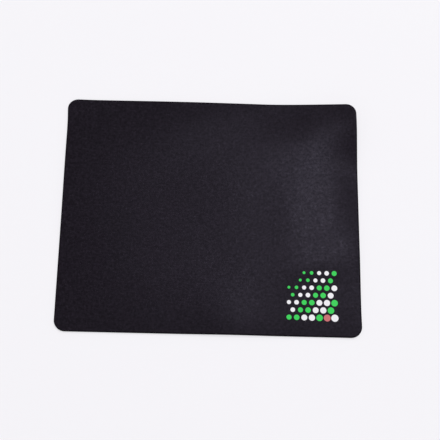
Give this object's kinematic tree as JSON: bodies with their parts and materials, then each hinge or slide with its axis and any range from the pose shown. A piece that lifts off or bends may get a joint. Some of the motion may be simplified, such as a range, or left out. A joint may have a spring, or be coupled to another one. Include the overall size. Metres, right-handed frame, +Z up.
{
  "type": "mouse pad",
  "caption": "Thin rectangular mouse pad with rounded corners: black knitted cloth face bonded to a sponge rubber base with a wavy ribbed grip underside.",
  "frame": {"origin": "on the table, under the middle of the pad", "axes": "+X along the long side to the user's right, +Y away from the user, +Z up through the thickness"},
  "size_m": [0.22, 0.18, 0.002],
  "materials": {
    "cloth": "matt black knitted polyester with a soft sheen",
    "film": "translucent hot-melt film, seen only in the cut edge",
    "rubber": "matt black sponge rubber"
  },
  "bodies": {
    "root": {"cloth_face": "cloth", "bonding_film": "film", "rubber_base": "rubber"}
  },
  "joints": []
}
